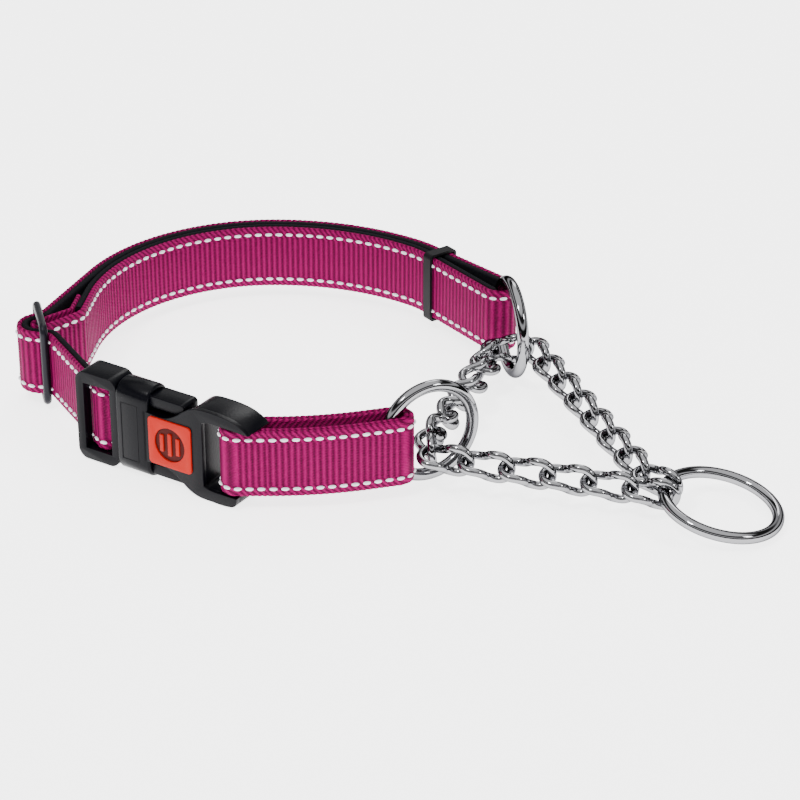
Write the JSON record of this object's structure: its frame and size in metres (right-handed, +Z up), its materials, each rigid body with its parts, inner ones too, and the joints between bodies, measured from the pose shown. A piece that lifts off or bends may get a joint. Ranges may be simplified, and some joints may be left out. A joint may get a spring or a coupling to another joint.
{
  "type": "martingale collar",
  "caption": "Webbing martingale collar with padded lining, side release buckle with sliding lock, strap slider, two strap rings, twisted curb chain and leash ring.",
  "frame": {"origin": "middle of the footprint, on the floor that the collar stands on", "axes": "+Z up along the strap's width, +X from the strap slider to the leash ring, -Y on the buckle side"},
  "size_m": [0.2702, 0.2044, 0.0396],
  "materials": {
    "webbing": "ribbed magenta nylon webbing with white stitches",
    "neoprene": "matt black padding",
    "black_plastic": "moulded acetal, satin",
    "lock_plastic": "satin red-orange",
    "dark_metal": "black coated steel",
    "elastic": "matt black band",
    "chrome_steel": "polished"
  },
  "bodies": {
    "collar": {"long_strap_webbing": "webbing", "long_strap_lining": "neoprene", "buckle_run_webbing": "webbing", "buckle_run_lining": "neoprene", "strap_slider": "dark_metal", "short_strap_backing": "webbing", "short_strap_facing": "webbing", "buckle_socket": "black_plastic"},
    "plug": {"buckle_plug": "black_plastic"},
    "upper_prong": {"upper_prong": "black_plastic"},
    "lower_prong": {"lower_prong": "black_plastic"},
    "lock": {"lock_slide": "lock_plastic"},
    "keeper": {"keeper_loop": "elastic"},
    "far_ring": {"far_ring": "chrome_steel"},
    "near_ring": {"near_ring": "chrome_steel"},
    "control_loop": {"far_branch_link_01": "chrome_steel"},
    "leash_ring": {"leash_ring": "chrome_steel"},
    "connecting_link_01": {"connecting_link_01": "chrome_steel"},
    "connecting_link_02": {"connecting_link_02": "chrome_steel"},
    "connecting_link_03": {"connecting_link_03": "chrome_steel"},
    "connecting_link_04": {"connecting_link_04": "chrome_steel"},
    "connecting_link_05": {"connecting_link_05": "chrome_steel"},
    "connecting_link_06": {"connecting_link_06": "chrome_steel"},
    "far_ring_link": {"far_ring_link": "chrome_steel"},
    "far_branch_link_02": {"far_branch_link_02": "chrome_steel"},
    "far_branch_link_03": {"far_branch_link_03": "chrome_steel"},
    "far_branch_link_04": {"far_branch_link_04": "chrome_steel"},
    "far_branch_link_05": {"far_branch_link_05": "chrome_steel"},
    "far_branch_link_06": {"far_branch_link_06": "chrome_steel"},
    "far_branch_link_07": {"far_branch_link_07": "chrome_steel"},
    "far_branch_link_08": {"far_branch_link_08": "chrome_steel"},
    "near_branch_link_01": {"near_branch_link_01": "chrome_steel"},
    "near_branch_link_02": {"near_branch_link_02": "chrome_steel"},
    "near_branch_link_03": {"near_branch_link_03": "chrome_steel"},
    "near_branch_link_04": {"near_branch_link_04": "chrome_steel"},
    "near_branch_link_05": {"near_branch_link_05": "chrome_steel"},
    "near_branch_link_06": {"near_branch_link_06": "chrome_steel"}
  },
  "joints": [
    {"name": "plug_slide", "type": "slide", "parent": "collar", "child": "plug", "axis": [-0.8387, 0.5446, 0], "range_m": [0, 0.0342], "deforming": ["buckle_run_webbing", "buckle_run_lining"]},
    {"name": "upper_prong_flex", "type": "hinge", "parent": "plug", "child": "upper_prong", "pos_m": [-0.09073, -0.04095, 0.0308], "axis": [0.5446, 0.8387, 0], "range_deg": [0, 2], "stiffness_Nm_per_rad": 0.4},
    {"name": "lower_prong_flex", "type": "hinge", "parent": "plug", "child": "lower_prong", "pos_m": [-0.09073, -0.04095, 0.0042], "axis": [-0.5446, -0.8387, 0], "range_deg": [0, 2], "stiffness_Nm_per_rad": 0.4},
    {"name": "lock_slide_joint", "type": "slide", "parent": "collar", "child": "lock", "axis": [0.8387, -0.5446, 0], "range_m": [0, 0.003]},
    {"name": "keeper_slide", "type": "slide", "parent": "collar", "child": "keeper", "axis": [0.5938, -0.8046, 0], "range_m": [-0.003, 0.003]},
    {"name": "far_ring_turn", "type": "hinge", "parent": "collar", "child": "far_ring", "pos_m": [0.04535, 0.02644, 0.0204], "axis": [0.9724, 0.2334, 0], "continuous": true},
    {"name": "near_ring_turn", "type": "hinge", "parent": "collar", "child": "near_ring", "pos_m": [0.01448, -0.05353, 0.0204], "axis": [-0.4617, 0.887, 0], "continuous": true},
    {"name": "control_loop_lift", "type": "hinge", "parent": "collar", "child": "control_loop", "pos_m": [0.01538, -0.05803, 0.0138], "axis": [-0.3882, -0.9212, 0.0263], "range_deg": [-9, 0]},
    {"name": "leash_ring_swing", "type": "hinge", "parent": "control_loop", "child": "leash_ring", "pos_m": [0.09427, -0.07568, 0.01], "axis": [-0.225, -0.9744, 0], "range_deg": [0, 20]},
    {"name": "connecting_link_01_twist", "type": "hinge", "parent": "collar", "child": "connecting_link_01", "pos_m": [0.01513, -0.05088, 0.0138], "axis": [-0.0349, 0.9994, 0], "range_deg": [-2.5, 2.5]},
    {"name": "connecting_link_02_twist", "type": "hinge", "parent": "collar", "child": "connecting_link_02", "pos_m": [0.01813, -0.03768, 0.0135], "axis": [0.3299, 0.9435, -0.032], "range_deg": [-2.5, 2.5]},
    {"name": "connecting_link_03_twist", "type": "hinge", "parent": "collar", "child": "connecting_link_03", "pos_m": [0.02285, -0.02418, 0.01304], "axis": [0.3299, 0.9435, -0.032], "range_deg": [-2.5, 2.5]},
    {"name": "connecting_link_04_twist", "type": "hinge", "parent": "collar", "child": "connecting_link_04", "pos_m": [0.02756, -0.01069, 0.01258], "axis": [0.3299, 0.9435, -0.032], "range_deg": [-2.5, 2.5]},
    {"name": "connecting_link_05_twist", "type": "hinge", "parent": "collar", "child": "connecting_link_05", "pos_m": [0.03228, 0.0028, 0.01212], "axis": [0.3299, 0.9435, -0.032], "range_deg": [-2.5, 2.5]},
    {"name": "connecting_link_06_twist", "type": "hinge", "parent": "collar", "child": "connecting_link_06", "pos_m": [0.037, 0.01629, 0.01167], "axis": [0.3299, 0.9435, -0.032], "range_deg": [-2.5, 2.5]},
    {"name": "far_ring_link_twist", "type": "hinge", "parent": "collar", "child": "far_ring_link", "pos_m": [0.04429, 0.02603, 0.01136], "axis": [0.9848, 0.1736, 0], "range_deg": [-2.5, 2.5]},
    {"name": "far_branch_link_02_twist", "type": "hinge", "parent": "control_loop", "child": "far_branch_link_02", "pos_m": [0.06046, 0.00989, 0.01092], "axis": [0.3554, -0.9344, -0.0229], "range_deg": [-2.5, 2.5]},
    {"name": "far_branch_link_03_twist", "type": "hinge", "parent": "control_loop", "child": "far_branch_link_03", "pos_m": [0.06555, -0.00347, 0.0106], "axis": [0.3554, -0.9344, -0.0229], "range_deg": [-2.5, 2.5]},
    {"name": "far_branch_link_04_twist", "type": "hinge", "parent": "control_loop", "child": "far_branch_link_04", "pos_m": [0.07063, -0.01684, 0.01027], "axis": [0.3554, -0.9344, -0.0229], "range_deg": [-2.5, 2.5]},
    {"name": "far_branch_link_05_twist", "type": "hinge", "parent": "control_loop", "child": "far_branch_link_05", "pos_m": [0.07571, -0.0302, 0.00994], "axis": [0.3554, -0.9344, -0.0229], "range_deg": [-2.5, 2.5]},
    {"name": "far_branch_link_06_twist", "type": "hinge", "parent": "control_loop", "child": "far_branch_link_06", "pos_m": [0.08079, -0.04356, 0.00961], "axis": [0.3554, -0.9344, -0.0229], "range_deg": [-2.5, 2.5]},
    {"name": "far_branch_link_07_twist", "type": "hinge", "parent": "control_loop", "child": "far_branch_link_07", "pos_m": [0.08587, -0.05692, 0.00929], "axis": [0.3554, -0.9344, -0.0229], "range_deg": [-2.5, 2.5]},
    {"name": "far_branch_link_08_twist", "type": "hinge", "parent": "control_loop", "child": "far_branch_link_08", "pos_m": [0.09258, -0.06843, 0.00907], "axis": [0.788, -0.6157, 0], "range_deg": [-2.5, 2.5]},
    {"name": "near_branch_link_01_twist", "type": "hinge", "parent": "control_loop", "child": "near_branch_link_01", "pos_m": [0.02008, -0.0615, 0.01354], "axis": [0.9726, -0.2256, -0.0556], "range_deg": [-2.5, 2.5]},
    {"name": "near_branch_link_02_twist", "type": "hinge", "parent": "control_loop", "child": "near_branch_link_02", "pos_m": [0.03399, -0.06473, 0.01274], "axis": [0.9726, -0.2256, -0.0556], "range_deg": [-2.5, 2.5]},
    {"name": "near_branch_link_03_twist", "type": "hinge", "parent": "control_loop", "child": "near_branch_link_03", "pos_m": [0.0479, -0.06795, 0.01194], "axis": [0.9726, -0.2256, -0.0556], "range_deg": [-2.5, 2.5]},
    {"name": "near_branch_link_04_twist", "type": "hinge", "parent": "control_loop", "child": "near_branch_link_04", "pos_m": [0.06181, -0.07118, 0.01115], "axis": [0.9726, -0.2256, -0.0556], "range_deg": [-2.5, 2.5]},
    {"name": "near_branch_link_05_twist", "type": "hinge", "parent": "control_loop", "child": "near_branch_link_05", "pos_m": [0.07571, -0.0744, 0.01035], "axis": [0.9726, -0.2256, -0.0556], "range_deg": [-2.5, 2.5]},
    {"name": "near_branch_link_06_twist", "type": "hinge", "parent": "control_loop", "child": "near_branch_link_06", "pos_m": [0.08962, -0.07763, 0.00956], "axis": [0.9726, -0.2256, -0.0556], "range_deg": [-2.5, 2.5]}
  ],
  "couplings": [
    {"joint": "lower_prong_flex", "follows": "upper_prong_flex", "ratio": 1}
  ]
}
